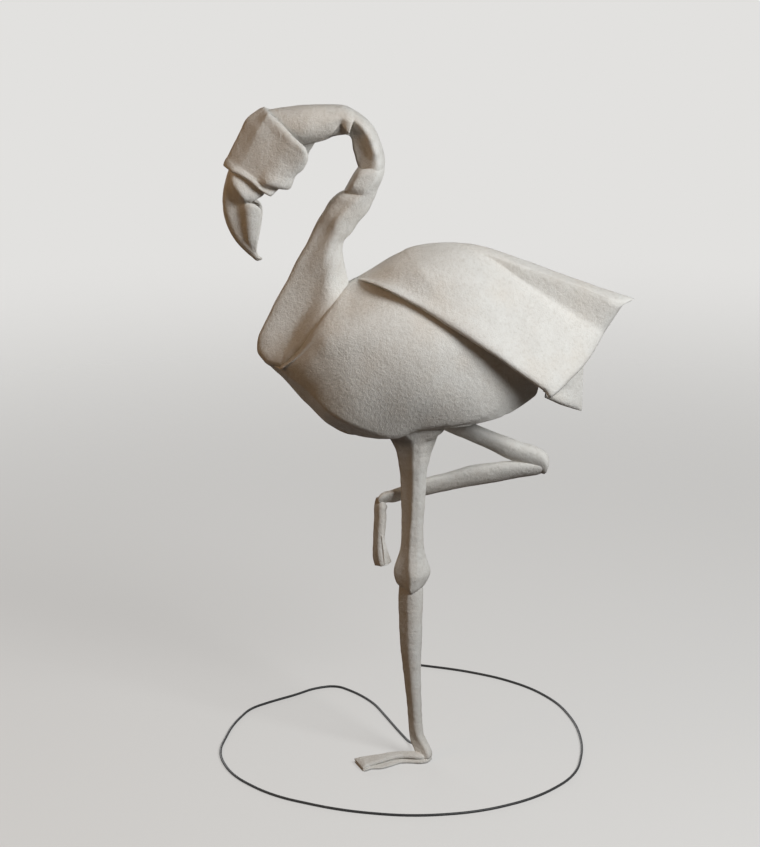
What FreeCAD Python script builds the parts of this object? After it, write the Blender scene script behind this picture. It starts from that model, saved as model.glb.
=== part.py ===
import FreeCAD, Part
import math
import os

# A flamingo folded from one sheet of heavy paper, held up by one bent wire.
# Origin on the floor at the middle of the wire's ring, +X to the tail, +Z up.
# Percent tables give a fold's shape; the named sizes below give its dimensions.

Vector = FreeCAD.Vector
os.makedirs("parts", exist_ok=True)

paper = 0.6             # thickness of the sheet
middle = -14.0          # Y of the plane that the bird is folded about

body_front = -56.0      # X of the breast
body_length = 136.0     # breast to tail tip
body_half_width = 28.0  # to the wing's edge
body_depth = 73.8       # belly to back
hip_height = 125.4      # floor to belly

neck_rise = 98.0        # foot of the neck to the top of its arch
neck_reach = 46.0       # front of the foot to the back of the arch
neck_half_depth = 6.0

hood_half_depth = 9.0
beak_half_depth = 4.0

leg_axis = -18.0        # Y of the standing leg
leg_half_depth = 4.0
shank_half_width = 4.2
hollow_share = 0.85     # how much of the leg's flare over the ankle is hollow
seam = 0.5              # half width of the slit where a tube's edges meet

raised_axis = -8.2      # Y of the raised leg
raised_half_depth = 2.8

entry_height = 9.0      # of the slot at the heel, where the wire comes in
foot_thickness = 2.4

wire_diameter = 1.0
wire_gap = 0.4          # round the wire, inside the leg
ring_radius = 70.5
wire_top = 4.0          # from the wire's end up to the belly

# rows run from breast to tail: X in percent of the length, half width, height over the belly
hull_rows = [
    [(5.5, 14, 40), (9, 32, 45), (15, 48, 60), (20, 39, 72), (27, 2, 84), (41, -3, 92), (57, -3, 95),
     (72, -3, 86), (85, -3, 76)],
    [(5.4, 13, 39), (8.8, 31, 42), (14.5, 53, 52), (20, 58, 61), (30, 50, 72), (41, 55, 79), (58, 50, 80),
     (72, 34, 74), (84, 14, 67)],
    [(5.2, 12, 37), (8.4, 27, 37), (14, 48, 41), (20, 68, 45), (32, 89, 50), (41, 95, 54), (59, 79, 56),
     (71, 54, 55), (81, 29, 54)],
    [(5, 7, 36), (8, 17, 32), (13, 35, 29), (19, 52, 25), (32, 77, 25), (41, 87, 30), (58, 79, 34),
     (70, 55, 36), (79, 32, 39)],
    [(4.7, -3, 35), (7.4, -3, 30), (12, -3, 21), (19, -3, 7), (32, -3, 0), (41, 39, 8), (57, 54, 14),
     (70, 39, 21), (75, 30, 29)],
]
wing_rows = [
    [(27, -3, 84), (33, -3, 90), (40, -3, 97), (47, -3, 100), (60, -3, 99), (70, -3, 93), (86, -3, 82),
     (100, -3, 72.4)],
    [(26.8, 4, 84), (32, 21, 88), (39, 34, 92), (46, 39, 92), (59, 25, 96), (68, 37, 87), (80, 48, 74),
     (96, 21, 66)],
    [(26.6, 6, 84), (32, 36, 85), (39, 59, 85), (47, 68, 81), (59, 64, 79), (68, 68, 69), (81, 66, 58),
     (91, 46, 56)],
    [(26.5, 8, 83.5), (31, 46, 84), (41, 77, 77), (49, 91, 70), (59, 100, 58), (67, 96, 48), (74, 89, 38),
     (84, 71, 43)],
]
tail_rows = [
    [(75, 49, 60), (81, 25, 62), (88, -3, 66)],
    [(75, 45, 40), (80, 26, 40), (87, -3, 40)],
    [(75, 33, 26), (79, 18, 22), (86.8, -3, 15)],
]

# from the foot up: inner edge, outer edge (percent of reach and rise), depth, share of the breast's width
neck_stations = [
    ((12, 0), (53, 12), 100, 60),
    ((3, 4), (58, 15), 100, 85),
    ((0, 9), (61, 18), 100, 100),
    ((2, 14), (64, 21), 100, 100),
    ((11, 23), (69, 27), 100, 75),
    ((21, 32), (70, 36), 100, 40),
    ((31, 41), (67, 43), 100, 10),
    ((41, 50), (68, 49), 95, 0),
    ((51, 59), (76, 53), 95, 0),
    ((59, 64), (84, 59), 90, 0),
    ((69, 68), (92, 66), 90, 0),
    ((75, 73), (98, 73), 90, 0),
    ((79, 77), (100, 79), 90, 0),
    ((76, 83), (97, 86), 90, 0),
    ((73, 88), (89, 93), 90, 0),
    ((67, 91), (79, 98), 90, 0),
    ((58, 90), (68, 100), 92, 0),
    ((45, 86), (54, 100), 95, 0),
    ((22, 84), (30, 99.4), 95, 0),
    ((6, 80), (-2, 96), 80, 0),
]
neck_foot = 36.1        # height of the neck's foot, in percent of the body's depth

# rows from the hood's rear edge to its front corner: offsets in mm from the crown, depth in percent
hood_rows = [
    [(0, -8, 0), (1.5, 61, -0.7), (7, 85, -6), (14, 100, -13)],
    [(-3.2, -8, -1.8), (-0.5, 66, -4.7), (5.8, 88, -10), (15, 105, -16)],
    [(-6.3, -8, -4.6), (-3.4, 72, -10), (3.7, 92, -14), (14, 100, -19)],
    [(-10, -8, -12), (-6.3, 78, -16), (0.8, 92, -20), (9, 94, -25)],
    [(-14.4, -8, -20), (-11, 67, -21), (-5, 89, -25), (2, 89, -30)],
]
# from the hood down to the tip: front edge and back edge in mm from the crown, depth in percent
beak_stations = [
    ((-11.5, -13), (2, -21), 105), ((-13.6, -20), (1, -30), 115), ((-14.7, -29), (-3.5, -33), 105),
    ((-15.2, -35), (-2.7, -36), 100), ((-14.7, -41), (-1.5, -40), 95), ((-12.5, -46), (-2, -45), 85),
    ((-9.5, -50.2), (-2.7, -49.3), 65), ((-6, -53.6), (-3.5, -52), 40), ((-3.1, -56), (-2.4, -54), 25),
]

# share of the hip height, lean from the hip, half width and half depth in shares of the shank's
leg_stations = [
    (1.13, -1.5, 2.7, 1.9), (1.04, 0.0, 2.2, 1.7), (0.98, -0.3, 1.5, 1.3), (0.92, -0.7, 1.15, 1.0),
    (0.79, -0.7, 0.98, 0.95), (0.69, -0.7, 0.95, 0.9), (0.65, -0.7, 1.2, 1.1), (0.61, -0.9, 1.55, 1.3),
    (0.58, -1.2, 1.42, 1.25), (0.55, -1.3, 1.06, 1.0), (0.4, -1.3, 0.92, 0.9), (0.25, -0.4, 0.76, 0.75),
    (0.14, 0.6, 0.6, 0.6), (0.06, 1.5, 0.5, 0.5), (0.002, 2.4, 0.52, 0.5),
]
leg_hip = 1.3           # X of the standing leg where it leaves the belly

# edges of each raised tube: X offset from the leg's hip, share of the hip height
thigh_stations = [
    ((-4, 1.12), (8, 1.14), 130), ((4, 1.05), (16, 1.09), 120), ((14, 1.015), (20, 1.06), 100),
    ((27, 0.965), (30, 1.015), 95), ((38, 0.93), (41, 0.98), 95), ((45, 0.89), (50, 0.945), 90),
]
shin_stations = [
    ((50, 0.935), (48, 0.875), 105), ((40, 0.93), (36, 0.86), 110), ((27, 0.92), (24, 0.84), 110),
    ((12, 0.89), (12, 0.822), 100), ((-2, 0.855), (-3, 0.802), 90), ((-10, 0.835), (-9, 0.79), 85),
    ((-13.5, 0.815), (-12, 0.775), 80),
]
toe_stations = [
    ((-14, 0.81), (-9.5, 0.82), 75), ((-14.8, 0.765), (-10.5, 0.765), 70), ((-15, 0.69), (-11, 0.69), 65),
    ((-15.3, 0.63), (-10.4, 0.635), 80), ((-14.7, 0.6), (-9, 0.612), 95),
]

# outline of the standing foot on the floor, heel to toe: near and far edge from the leg's axis
foot_stations = [
    ((5.2, -4), (5.4, 2.8)), ((0, -5.4), (-1, 2.8)), ((-5.5, -6.4), (-4.5, 2.9)),
    ((-11, -9), (-9.5, 2)), ((-17, -12.6), (-15.5, 0.6)), ((-20.5, -13.2), (-25, -0.6)),
]

# wire route from its free end round the ring: share of the ring's radius, degrees from +X
ring_route = [
    (1.03, 86), (1.0, 72), (0.99, 57), (0.985, 43), (0.97, 28), (0.95, 10), (0.96, -9), (1.02, -30),
    (1.02, -50), (1.01, -70), (1.0, -90), (1.0, -111), (1.05, -134), (1.08, -152), (1.07, -168),
    (1.0, 171), (0.98, 157), (0.92, 148), (0.87, 138), (0.87, 129), (0.83, 120),
]
spoke_offsets = [(-24, 60), (-17.5, 50), (-12.5, 36), (-8, 23), (-3.8, 12)]   # X, Y from the leg's axis


def body_point(point):
    x, half, z = point
    return Vector(body_front + body_length * x / 100,
                  middle - body_half_width * half / 100,
                  hip_height + body_depth * z / 100)


def head_point(point, half_depth):
    x, half, z = point
    return Vector(crown.x + x, middle - half_depth * half / 100, crown.z + z)


def smooth(points):
    """Curve through the points."""
    curve = Part.BSplineCurve()
    curve.interpolate(Points=points, Parameters=[float(i) for i in range(len(points))])
    return curve.toShape()


def sheet(rows, thickness=paper):
    """Plate of folded paper: smooth along each row, creased at every row."""
    last_row = len(rows) - 1
    last_point = len(rows[0]) - 1
    sides = ([], [])
    for r, row in enumerate(rows):
        lines = ([], [])
        for c, point in enumerate(row):
            along = row[min(c + 1, last_point)] - row[max(c - 1, 0)]
            across = rows[min(r + 1, last_row)][c] - rows[max(r - 1, 0)][c]
            normal = along.cross(across).normalize()
            lines[0].append(point + normal * (thickness / 2))
            lines[1].append(point - normal * (thickness / 2))
        for side, line in zip(sides, lines):
            side.append(line)
    curves = [[smooth(line) for line in side] for side in sides]
    faces = []
    for side in curves:
        faces += [Part.makeRuledSurface(a, b) for a, b in zip(side, side[1:])]
    for edge in (0, last_row):
        faces.append(Part.makeRuledSurface(curves[0][edge], curves[1][edge]))
    for r in range(last_row):
        for end in (0, last_point):
            near = Part.makeLine(sides[0][r][end], sides[0][r + 1][end])
            far = Part.makeLine(sides[1][r][end], sides[1][r + 1][end])
            faces.append(Part.makeRuledSurface(near, far))
    return closed(faces)


def closed(faces):
    shell = Part.makeShell(faces)
    shell.sewShape()
    solid = Part.makeSolid(shell)
    if solid.Volume < 0:
        solid.reverse()
    return solid


def both_sides(near):
    """The near half trimmed at the fold plane, and its mirror image."""
    reach = 1000
    half_space = Part.makeBox(reach, reach, reach, Vector(-reach / 2, middle - reach, -reach / 2))
    near = near.common(half_space)
    far = near.mirror(Vector(0, middle, 0), Vector(0, 1, 0))
    return near.fuse(far)


def section(first, last, half_depth, depth_axis, wall, slit, slit_angle, squareness):
    """Closed outline of a tube of paper whose edges meet at a slit."""
    centre = (first + last) / 2
    half_width = (last - first).Length / 2
    width_axis = (last - first).normalize()
    steps = 14
    outline = []
    for inset in (0, wall):
        wide = half_width - inset
        deep = half_depth - inset
        opening = math.degrees(math.asin(min(0.9, slit / min(wide, deep))))
        ring = []
        for step in range(steps + 1):
            angle = math.radians(slit_angle + opening + (360 - 2 * opening) * step / steps)
            cosine = math.copysign(abs(math.cos(angle)) ** squareness, math.cos(angle))
            sine = math.copysign(abs(math.sin(angle)) ** squareness, math.sin(angle))
            ring.append(centre + width_axis * (wide * cosine) + depth_axis * (deep * sine))
        outline += ring if inset == 0 else ring[::-1]
    return Part.makePolygon(outline + outline[:1])


def tube(stations, depth_axis, slit_angle, slit=seam, squareness=0.8):
    """Stations are (edge, edge, half depth, wall)."""
    wires = [section(first, last, half_depth, depth_axis, wall, slit, slit_angle, squareness)
             for first, last, half_depth, wall in stations]
    return Part.makeLoft(wires, True, True)


def hull():
    return both_sides(sheet([[body_point(p) for p in row] for row in hull_rows]))


def wings():
    return both_sides(sheet([[body_point(p) for p in row] for row in wing_rows]))


def tail():
    return both_sides(sheet([[body_point(p) for p in row] for row in tail_rows]))


def neck_point(point):
    return Vector(body_front + neck_reach * point[0] / 100, middle, neck_base + neck_rise * point[1] / 100)


def neck():
    breast_half_width = body_half_width * hull_rows[0][2][1] / 100 - paper
    stations = []
    for inner, outer, depth, spread in neck_stations:
        half_depth = neck_half_depth * depth / 100
        half_depth += (breast_half_width - neck_half_depth) * spread / 100
        stations.append((neck_point(inner), neck_point(outer), half_depth, paper))
    return tube(stations, Vector(0, 1, 0), slit_angle=180, squareness=1)


def hood():
    return both_sides(sheet([[head_point(p, hood_half_depth) for p in row] for row in hood_rows]))


def beak():
    stations = []
    for first, last, depth in beak_stations:
        edges = [Vector(crown.x + x, middle, crown.z + z) for x, z in (first, last)]
        stations.append((*edges, beak_half_depth * depth / 100, paper))
    return tube(stations, Vector(0, 1, 0), slit_angle=0, slit=0.3, squareness=1.2)


def leg_tube():
    bore = wire_diameter / 2 + wire_gap
    ankle = shank_half_width * leg_stations[-1][2]
    stations = []
    for share, lean, wide, deep in leg_stations:
        half_width = shank_half_width * wide
        half_depth = leg_half_depth * deep
        centre = Vector(leg_hip + lean, leg_axis, hip_height * share)
        half = Vector(half_width, 0, 0)
        narrow = min(half_width, half_depth)
        wall = narrow - bore - hollow_share * (narrow - ankle)
        stations.append((centre - half, centre + half, half_depth, max(wall, paper)))
    leg = tube(stations, Vector(0, 1, 0), slit_angle=90, squareness=0.8)
    entry = Part.makeBox(2 * bore, 2 * leg_half_depth, entry_height, Vector(wire_x - bore, leg_axis, 0))
    return leg.cut(entry)


def raised_leg():
    tubes = []
    for table, slit_angle in ((thigh_stations, 90), (shin_stations, 90), (toe_stations, 90)):
        stations = []
        for first, last, depth in table:
            edges = [Vector(leg_hip + x, raised_axis, hip_height * share) for x, share in (first, last)]
            stations.append((*edges, raised_half_depth * depth / 100, paper))
        tubes.append(tube(stations, Vector(0, 1, 0), slit_angle, slit=0.3))
    return tubes[0].fuse(tubes[1:])


def foot():
    half = foot_thickness / 2
    stations = []
    for near, far in foot_stations:
        edges = [Vector(ankle_x + x, leg_axis + y, half) for x, y in (near, far)]
        stations.append((*edges, half, paper))
    return tube(stations, Vector(0, 0, 1), slit_angle=180, slit=0.25, squareness=0.6)


def wire_points():
    on_floor = wire_diameter / 2
    over_foot = foot_thickness + wire_gap + on_floor
    points = []
    for share, degrees in ring_route:
        angle = math.radians(degrees)
        points.append(Vector(ring_radius * share * math.cos(angle), ring_radius * share * math.sin(angle),
                             on_floor))
    points += [Vector(ankle_x + x, leg_axis + y, on_floor) for x, y in spoke_offsets]
    points.append(Vector(wire_x - 0.5, leg_axis + 5, over_foot))
    points.append(Vector(wire_x, leg_axis, over_foot + 1.2))
    for share, lean, _, _ in reversed(leg_stations[5:-1]):
        points.append(Vector(leg_hip + lean, leg_axis, hip_height * share))
    points.append(Vector(leg_hip + leg_stations[2][1], leg_axis, hip_height - wire_top))
    return points


def bent_path(points):
    """Straight runs joined by tangent arcs, each as large as its runs allow."""
    edges = []
    start = points[0]
    for before, corner, after in zip(points, points[1:], points[2:]):
        back = (before - corner).normalize()
        onward = (after - corner).normalize()
        turn = math.pi - back.getAngle(onward)
        if turn < 0.002:
            continue
        trim = 0.45 * min((before - corner).Length, (after - corner).Length)
        radius = trim / math.tan(turn / 2)
        arc_start = corner + back * trim
        arc_end = corner + onward * trim
        inward = (back + onward).normalize()
        centre = corner + inward * (radius / math.cos(turn / 2))
        arc_middle = centre - inward * radius
        edges.append(Part.LineSegment(start, arc_start).toShape())
        edges.append(Part.Arc(arc_start, arc_middle, arc_end).toShape())
        start = arc_end
    edges.append(Part.LineSegment(start, points[-1]).toShape())
    return Part.Wire(edges)


def wire_stand():
    points = wire_points()
    path = bent_path(points)
    profile = Part.Wire(Part.makeCircle(wire_diameter / 2, points[0], points[1] - points[0]))
    stand = path.makePipeShell([profile], True, True)
    print("wire length", round(path.Length, 1), "volume / section",
          round(stand.Volume / (math.pi * wire_diameter ** 2 / 4), 1))
    return stand


neck_base = hip_height + body_depth * neck_foot / 100
crown = neck_point((7.6, 98.6))
ankle_x = leg_hip + leg_stations[-1][1]
wire_x = leg_hip + (leg_stations[-2][1] + leg_stations[-1][1]) / 2

pieces = [hull(), wings(), tail(), neck(), hood(), beak(), leg_tube(), raised_leg(), foot()]
flamingo = pieces[0].fuse(pieces[1:])
flamingo.exportStep("parts/folded_paper_flamingo.step")
wire_stand().exportStep("parts/wire_stand.step")
print("flamingo solids", len(flamingo.Solids), "valid", flamingo.isValid(), "box", flamingo.BoundBox)
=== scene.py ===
import math
import bpy
import bmesh
import numpy as np
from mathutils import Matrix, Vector, noise


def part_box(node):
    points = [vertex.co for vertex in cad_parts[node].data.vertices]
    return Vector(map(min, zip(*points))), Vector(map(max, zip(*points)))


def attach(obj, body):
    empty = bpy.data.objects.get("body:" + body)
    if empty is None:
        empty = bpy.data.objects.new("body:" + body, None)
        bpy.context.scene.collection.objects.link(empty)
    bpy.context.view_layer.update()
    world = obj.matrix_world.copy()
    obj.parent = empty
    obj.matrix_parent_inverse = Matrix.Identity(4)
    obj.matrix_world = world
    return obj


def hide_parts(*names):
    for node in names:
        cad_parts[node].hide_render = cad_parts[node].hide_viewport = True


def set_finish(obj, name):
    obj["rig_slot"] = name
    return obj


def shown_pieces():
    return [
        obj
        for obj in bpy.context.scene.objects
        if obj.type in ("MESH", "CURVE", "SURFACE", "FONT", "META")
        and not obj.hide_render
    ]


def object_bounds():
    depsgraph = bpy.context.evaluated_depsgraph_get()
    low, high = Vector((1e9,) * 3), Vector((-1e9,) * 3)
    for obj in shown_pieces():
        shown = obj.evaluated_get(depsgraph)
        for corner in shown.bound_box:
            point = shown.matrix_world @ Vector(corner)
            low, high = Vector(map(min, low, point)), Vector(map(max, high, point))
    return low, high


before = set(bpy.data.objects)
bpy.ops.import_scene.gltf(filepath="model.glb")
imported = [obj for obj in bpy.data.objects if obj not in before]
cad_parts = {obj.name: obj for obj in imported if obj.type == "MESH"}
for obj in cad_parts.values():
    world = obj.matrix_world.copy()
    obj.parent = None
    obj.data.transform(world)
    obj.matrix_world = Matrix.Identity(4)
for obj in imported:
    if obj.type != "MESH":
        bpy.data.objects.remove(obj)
cadLow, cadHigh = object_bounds()
paperLow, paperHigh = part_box("folded_paper_flamingo")
patternHeight = 250                          # the patterns below are drawn 250 steps high
unit = (paperHigh.z - paperLow.z) / patternHeight      # one step, 1 mm
middle = (paperLow.y + paperHigh.y) / 2      # the fold plane between the two halves
leastGap = 0.05                              # rows closer than this count as this far apart
print("frame loaded")


def weave(rows, lengths, cell, sharp):
    # a smooth run through the rows, broken where a row is a sharp fold
    spread = lengths.reshape((-1,) + (1,) * (rows.ndim - 1))
    slopes = np.diff(rows, axis=0) / spread
    last = len(rows) - 1

    def slopeAt(k):
        # the slope that the runs on both sides of a row share; a fold or an end has none
        if k in (0, last) or k in sharp:
            return None
        before, after = spread[k - 1], spread[k]
        return (slopes[k - 1] * after + slopes[k] * before) / (after + before)

    woven = []
    for i in range(last):
        start, end = slopeAt(i), slopeAt(i + 1)
        if start is None:
            start = slopes[i] if end is None else 1.5 * slopes[i] - 0.5 * end
        if end is None:
            end = 1.5 * slopes[i] - 0.5 * start
        count = max(1, round(lengths[i] / cell))
        for k in range(count):
            t = k / count
            woven.append(rows[i] * (1 + 2 * t) * (1 - t) ** 2 + rows[i + 1] * t * t * (3 - 2 * t)
                         + (start * t * (1 - t) ** 2 - end * t * t * (1 - t)) * spread[i])
    woven.append(rows[last])
    return np.array(woven)


def meanGaps(rows):
    gaps = np.linalg.norm(np.diff(rows, axis=0), axis=-1)
    return np.maximum(gaps.reshape(len(rows) - 1, -1).mean(axis=1), leastGap)


def sheet(pattern, cell=1.1, foldRows=(), foldColumns=(), soften=1, pull=0.4):
    # a fine grid of points through a pattern of (along, out, up) points; out is from the fold
    # plane. It is softened by pulling each point towards its neighbours.
    points = np.array(pattern, float)
    grid = weave(points, meanGaps(points), cell, foldRows).swapaxes(0, 1)
    grid = weave(grid, meanGaps(points.swapaxes(0, 1)), cell, foldColumns).swapaxes(0, 1)
    for _ in range(soften):
        inner = grid[1:-1, 1:-1]
        around = (grid[:-2, 1:-1] + grid[2:, 1:-1] + grid[1:-1, :-2] + grid[1:-1, 2:]) / 4
        grid[1:-1, 1:-1] = inner * (1 - pull) + around * pull
    return grid


def tube(stations, cell, squareness, depthAxis=(0, 1, 0), ridge=0.0, fewestSides=16):
    # a sheet rolled round between two edge lines; a station is (outer edge, inner edge,
    # half depth, degrees round to the near lip and to the far lip)
    rows = np.array([(*outer, *inner, *rest) for outer, inner, *rest in stations], float)
    centre = (rows[:, :3] + rows[:, 3:6]) / 2
    lengths = np.maximum(np.linalg.norm(np.diff(centre, axis=0), axis=1), leastGap)
    rows = weave(rows, lengths, cell, ())
    outer, inner, half, near, far = np.split(rows, (3, 6, 7, 8), axis=1)
    centre, reach = (outer + inner) / 2, (outer - inner) / 2
    girth = 2 * math.pi * np.sqrt(((reach ** 2).sum(axis=1).mean() + (half ** 2).mean()) / 2)
    count = max(fewestSides, round(girth / cell))
    share = np.linspace(-1, 1, count + 1)[None, :]
    angle = np.radians(np.where(share < 0, share * far, share * near))
    width = np.sign(np.cos(angle)) * np.abs(np.cos(angle)) ** squareness
    depth = np.sign(np.sin(angle)) * np.abs(np.sin(angle)) ** squareness
    width = width + ridge * np.abs(depth) * (1 - np.abs(width))
    return (centre[:, None, :] + reach[:, None, :] * width[:, :, None]
            + np.array(depthAxis, float) * (half * depth)[:, :, None])


# a rolled margin, as shares of its width: its most against the row before, how far the roll
# swells past the edge, and where it turns back
roll = dict(most=0.8, swell=0.08, turn=0.2)


def rolled(pattern, depth, width):
    # the last row's edge rolled under: in by the depth, then back towards the row before
    net = np.array(pattern, float)
    edge = net[-1]
    back = net[-2] - edge
    length = np.linalg.norm(back, axis=-1, keepdims=True)
    reach = back * np.minimum(width / length, roll["most"])
    inward = np.array((0, 1, 0)) * np.minimum(depth, edge[:, 1:2])
    return np.concatenate([net, [
        edge - inward * 0.5 - reach * roll["swell"], edge - inward + reach * roll["turn"],
        edge - inward + reach]])


def rolledEnd(pattern, depth, width):
    # the same for the last column
    return rolled(np.swapaxes(pattern, 0, 1), depth, width).swapaxes(0, 1)


def mirrored(grid):
    return grid * np.array((1, -1, 1))


def addGrid(mesh, grid):
    rows, columns = grid.shape[:2]
    points = [mesh.verts.new((along * unit, middle - out * unit, paperLow.z + up * unit))
              for along, out, up in grid.reshape(-1, 3)]
    for i in range(rows - 1):
        for j in range(columns - 1):
            a = i * columns + j
            b = a + columns
            mesh.faces.new((points[a], points[a + 1], points[b + 1], points[b]))


crumple = dict(
    broad=13, medium=5.5, fine=2.2,      # the sizes of the dents and of the grain, in steps
    weld=0.02, sliver=0.01,              # points closer than this become one
    edgeRound=0.3, edgeAngle=62,         # share of the thickness; degrees
)


def paperPiece(name, grids, thickness=0.65, dents=0.2, grain=0.05, seed=0.0):
    mesh = bmesh.new()
    for grid in grids:
        addGrid(mesh, grid)
    bmesh.ops.remove_doubles(mesh, verts=mesh.verts, dist=crumple["weld"] * unit)
    bmesh.ops.dissolve_degenerate(mesh, dist=crumple["sliver"] * unit, edges=mesh.edges)
    bmesh.ops.recalc_face_normals(mesh, faces=mesh.faces)
    mesh.normal_update()
    shift = Vector((seed, seed * 0.7, -seed))      # the same dents on every run
    for v in mesh.verts:
        p = v.co / unit
        lift = dents * noise.noise(p / crumple["broad"] + shift)
        lift += 0.5 * dents * noise.noise(p / crumple["medium"] - shift)
        lift += grain * noise.noise(p / crumple["fine"] + shift)
        v.co += v.normal * lift * unit
    data = bpy.data.meshes.new(name)
    mesh.to_mesh(data)
    mesh.free()
    piece = bpy.data.objects.new(name, data)
    bpy.context.scene.collection.objects.link(piece)
    solid = piece.modifiers.new("thickness", "SOLIDIFY")
    solid.thickness = thickness * unit
    solid.offset = 0
    solid.use_even_offset = False
    solid.thickness_clamp = 1.0
    rim = piece.modifiers.new("roundedEdge", "BEVEL")
    rim.width = thickness * crumple["edgeRound"] * unit
    rim.segments = 2
    rim.limit_method = "ANGLE"
    rim.angle_limit = math.radians(crumple["edgeAngle"])
    finished = piece.evaluated_get(bpy.context.evaluated_depsgraph_get())
    made = bpy.data.meshes.new_from_object(finished)
    piece.modifiers.clear()
    piece.data = made
    made.name = name
    bpy.data.meshes.remove(data)
    for polygon in made.polygons:
        polygon.use_smooth = True
    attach(piece, "root")
    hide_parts("folded_paper_flamingo")
    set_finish(piece, "heavy_paper")
    print(name, len(made.polygons))


body = dict(
    hull=[
        # from the open chest and the back down to the belly; each row runs from front to rear
        [(-47.3, 9, 155.4), (-43.9, 11.3, 158.5), (-39.8, 13.3, 163.3), (-35.4, 14.6, 170.1),
         (-31.2, 13, 175.7), (-27.3, 9, 180.1), (-23.1, 3, 184.4), (-19.3, 0.5, 187), (0, 0, 194),
         (22, 0, 196), (42, 0, 189), (62, 0, 181)],
        [(-47.2, 8.8, 155.2), (-43.8, 12, 158), (-39.7, 15, 161.5), (-35.4, 17.6, 165.9),
         (-30.7, 20, 169.9), (-26.1, 20.2, 172.8), (-20.4, 19.6, 175.6), (-14, 18.9, 178.1),
         (8, 13.5, 185), (28, 11.5, 184), (45, 6.5, 179.5), (60, 4, 173)],
        [(-47.1, 8.5, 155), (-43.7, 12, 156.7), (-39.8, 15.5, 158.7), (-35.5, 18.5, 160.2),
         (-30.4, 21, 161.2), (-25.1, 22.8, 162), (-17.9, 24.2, 162.8), (-9.8, 25.4, 163.8),
         (4.4, 26.2, 165.9), (16.8, 24, 167.1), (31.2, 20.5, 167.7), (47.8, 14.5, 164.5)],
        [(-47.1, 8.3, 154.9), (-43.8, 11.5, 155.4), (-40, 14.8, 155.6), (-35.9, 17.6, 155.1),
         (-31.2, 20, 154.3), (-25.7, 22, 153), (-18.7, 23.6, 151.9), (-9.8, 24.9, 152),
         (4.1, 26, 152.6), (18, 24.5, 153.7), (31.3, 21.5, 157.5), (47.2, 16.5, 159.8)],
        [(-47.1, 8, 154.8), (-43.4, 9.8, 152.1), (-39.7, 12.5, 149.8), (-36.4, 14.5, 147.4),
         (-33.5, 16.5, 144.8), (-29.5, 18, 141.2), (-21.6, 19, 136.7), (-10.4, 17.5, 131.8),
         (2.9, 18.5, 135.1), (22.2, 20.5, 138.8), (32.6, 19.5, 145.2), (46.5, 16, 155.9)],
        [(-52.6, 0, 155.2), (-50.2, 0, 152.6), (-45.8, 0, 148.2), (-40.9, 0, 142.6),
         (-36.5, 0, 137.8), (-30.6, 0, 131.9), (-20.4, 0, 127.7), (-10.6, 11, 129.4),
         (2.9, 16, 133.8), (22.3, 19, 137.3), (33.7, 17, 140.3), (44.9, 13, 146.6)],
    ],
    creaseRow=4,                 # the row with a sharp fold
    lip=(2.4, 3.5),              # the rolled edge along the chest: how thick, how wide
    lipColumns=7,                # the lip ends at this column
    rim=(0.82, 0.18),            # where the roll's crest lies between the first two rows
    rimOut=0.9, rimFull=9,       # how far it swells, in full where the edge is this far out
    bellyColumns=6,              # the belly is open from this column on
    hem=((1.6, 0.6), (2.2, 5)),  # its turned-in margin: how far in, how far up
    hemOut=0.3,                  # and how near it comes to the fold plane
    surface=dict(seed=1.3),
)


def raisedIn(row, inward, up):
    return [(x, max(y - inward, body["hemOut"]), z + up) for x, y, z in row]


hullRows = np.array(body["hull"])
chestEdge = hullRows[0]
lipRows = rolled(hullRows[::-1], *body["lip"])[len(hullRows):][::-1]
rimRow = chestEdge * body["rim"][0] + hullRows[1] * body["rim"][1]
rimRow += np.array((0, body["rimOut"], 0)) * np.minimum(chestEdge[:, 1:2] / body["rimFull"], 1)
hull = sheet(np.concatenate([lipRows, hullRows[:1], [rimRow], hullRows[1:]]),
             foldRows=(len(lipRows) + 1 + body["creaseRow"],))
turn = np.argmin(np.linalg.norm(hull[:, 0] - chestEdge[0], axis=1))
lipEnd = np.argmin(np.linalg.norm(hull[turn] - chestEdge[body["lipColumns"]], axis=1))
belly = body["hull"][-1][body["bellyColumns"]:]
hem = sheet([belly] + [raisedIn(belly, *step) for step in body["hem"]], foldRows=(1,), soften=0)
bodySheets = [hull[turn:], hull[:turn + 1, :lipEnd], hem]
paperPiece("folded_body", bodySheets + [mirrored(s) for s in bodySheets], **body["surface"])


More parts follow.
